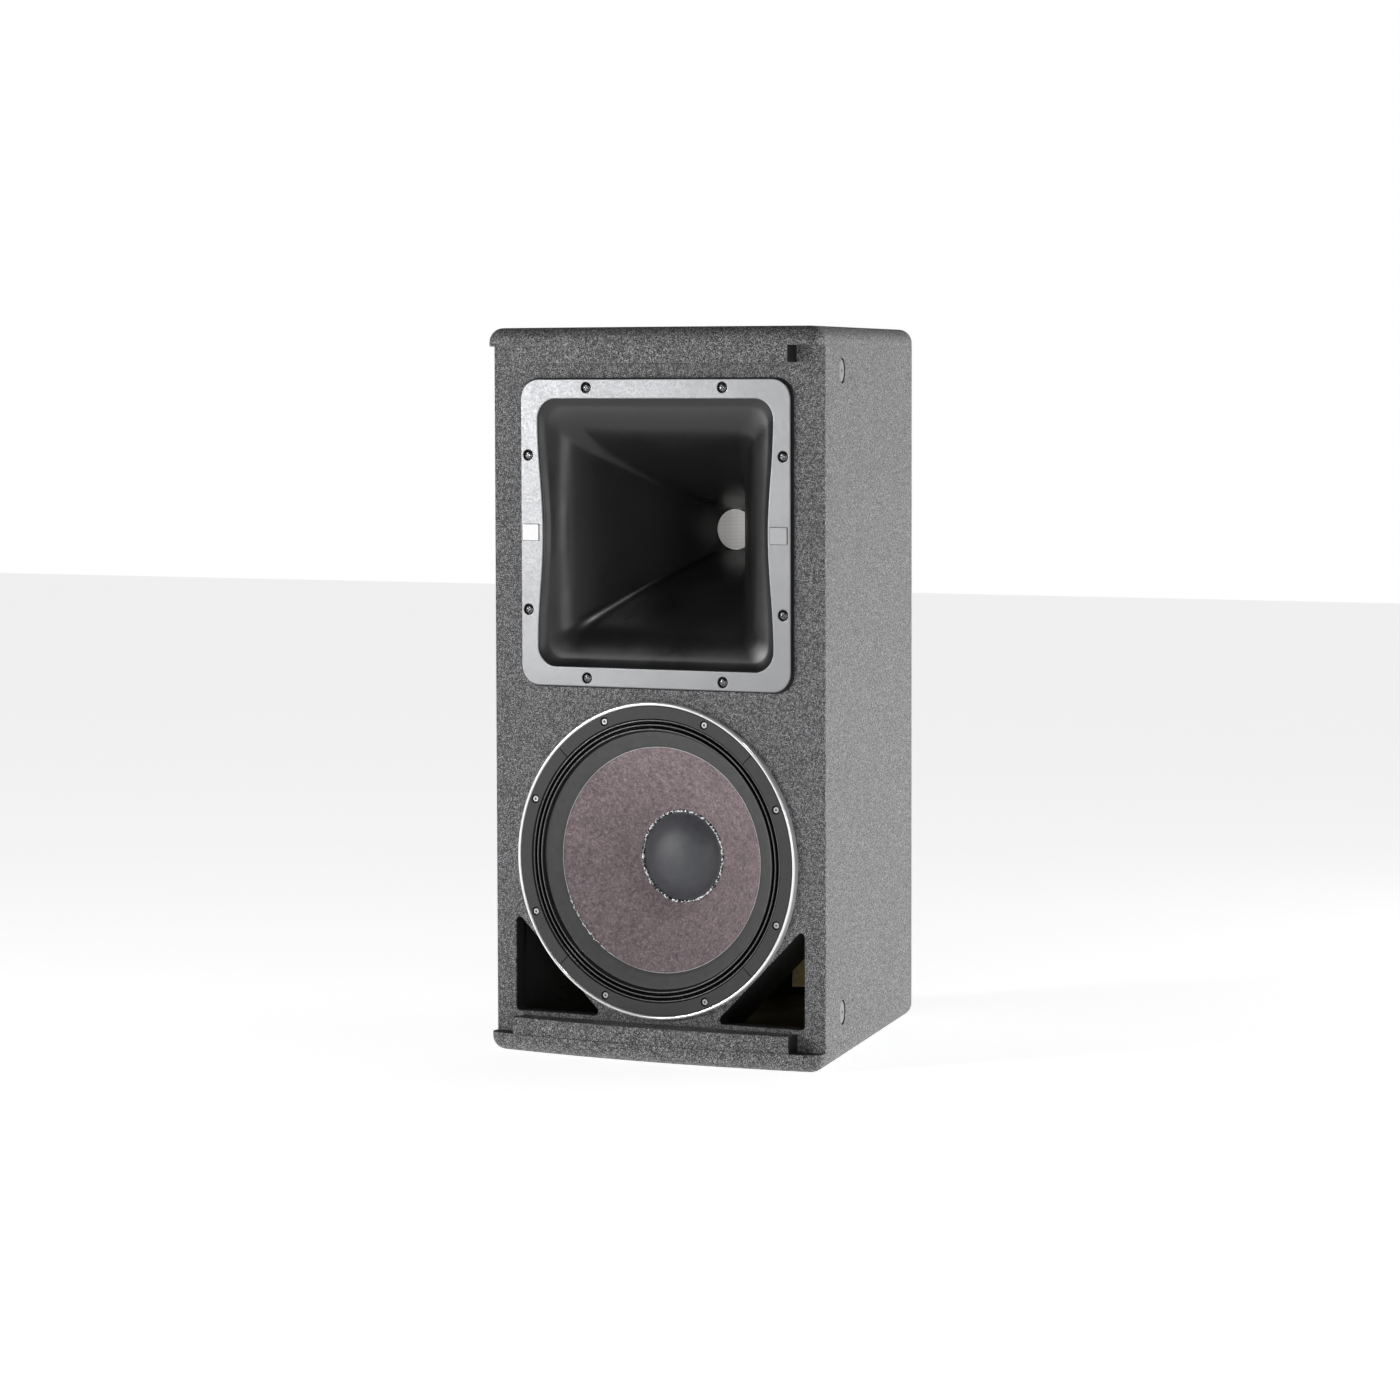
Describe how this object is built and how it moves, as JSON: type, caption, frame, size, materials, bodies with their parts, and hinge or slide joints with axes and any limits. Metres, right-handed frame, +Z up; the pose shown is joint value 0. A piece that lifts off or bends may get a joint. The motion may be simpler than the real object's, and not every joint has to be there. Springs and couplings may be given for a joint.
{
  "type": "pa speaker cabinet",
  "caption": "Upright two-way loudspeaker cabinet with sides tapered to the back, a square horn above a round woofer and corner ports.",
  "frame": {"origin": "on the floor, under the middle of the bounding box", "axes": "+Z up; the horn and the woofer face -Y; +X is to the right for someone who looks at the front"},
  "size_m": [0.3694, 0.4458, 0.711],
  "materials": {
    "painted_wood": "dark grey speckled textured paint over plywood",
    "bare_wood": "bare plywood",
    "black_plastic": "black satin moulding",
    "bezel_silver": "satin silver",
    "foam": "matt black",
    "black_steel": "black",
    "cast_aluminium": "bright machined ring, dark casting behind",
    "cone_paper": "pressed paper",
    "surround_cloth": "doped pleated cloth",
    "dust_cap_cloth": "matt dark cloth",
    "copper": "enamelled winding",
    "zinc_steel": "zinc plated",
    "ferrite": "sintered, matt",
    "titanium": "thin formed sheet",
    "wool": "yellow glass wool",
    "screen": "fine mesh",
    "board": "circuit board",
    "component": "moulded case",
    "clear_cover": "clear, smooth",
    "spider_cloth": "resin-stiffened cloth",
    "wire": "insulated"
  },
  "bodies": {
    "cabinet": {"back_panel": "painted_wood", "baffle": "painted_wood", "barrier_strip": "black_plastic", "bottom_batten": "painted_wood", "bottom_panel": "painted_wood", "crossover_board": "board", "crossover_capacitor": "component", "crossover_inductor": "copper", "fly_point_left_high": "black_steel", "fly_point_left_low": "black_steel", "fly_point_right_high": "black_steel", "fly_point_right_low": "black_steel", "hf_cable": "wire", "hf_magnet": "ferrite", "hf_phase_plug": "black_plastic", "hf_pole_piece": "zinc_steel", "hf_rear_cover": "black_plastic", "hf_top_plate": "zinc_steel", "horn_bezel": "bezel_silver", "horn_gasket": "foam", "horn_screw_1": "black_steel", "horn_screw_2": "black_steel", "horn_screw_3": "black_steel", "horn_screw_4": "black_steel", "horn_screw_5": "black_steel", "horn_screw_6": "black_steel", "horn_screw_7": "black_steel", "horn_screw_8": "black_steel", "input_cable": "wire", "input_dish": "black_plastic", "left_damping": "wool", "left_output_socket": "black_plastic", "left_port_board": "painted_wood", "left_side": "painted_wood", "mode_switch_body": "zinc_steel", "rear_damping": "wool", "right_damping": "wool", "right_output_socket": "black_plastic", "right_port_board": "painted_wood", "right_side": "painted_wood", "shelf_brace": "bare_wood", "spider": "spider_cloth", "throat_screen": "screen", "top_batten": "painted_wood", "top_panel": "painted_wood", "waveguide": "black_plastic", "woofer_back_plate": "zinc_steel", "woofer_basket": "cast_aluminium", "woofer_cable": "wire", "woofer_gasket": "foam", "woofer_magnet": "ferrite", "woofer_surround": "surround_cloth", "woofer_terminals": "black_plastic", "woofer_top_plate": "zinc_steel"},
    "cone_assembly": {"woofer_cone": "cone_paper", "dust_cap": "dust_cap_cloth", "voice_coil": "copper"},
    "driver_diaphragm": {"hf_diaphragm": "titanium"},
    "switch_lever": {"mode_switch_lever": "black_plastic"},
    "cover": {"terminal_cover": "clear_cover"}
  },
  "joints": [
    {"name": "cone_travel", "type": "slide", "parent": "cabinet", "child": "cone_assembly", "axis": [0, 1, 0], "range_m": [-0.006, 0.006], "stiffness_N_per_m": 4000, "deforming": ["woofer_surround", "spider"]},
    {"name": "diaphragm_travel", "type": "slide", "parent": "cabinet", "child": "driver_diaphragm", "axis": [0, 1, 0], "range_m": [-0.0005, 0.0005], "stiffness_N_per_m": 8000},
    {"name": "mode_switch_throw", "type": "slide", "parent": "cabinet", "child": "switch_lever", "axis": [1, 0, 0], "range_m": [0, 0.006]},
    {"name": "terminal_cover_hinge", "type": "hinge", "parent": "cabinet", "child": "cover", "pos_m": [0, 0.2087, 0.2562], "axis": [1, 0, 0], "range_deg": [0, 100]}
  ]
}
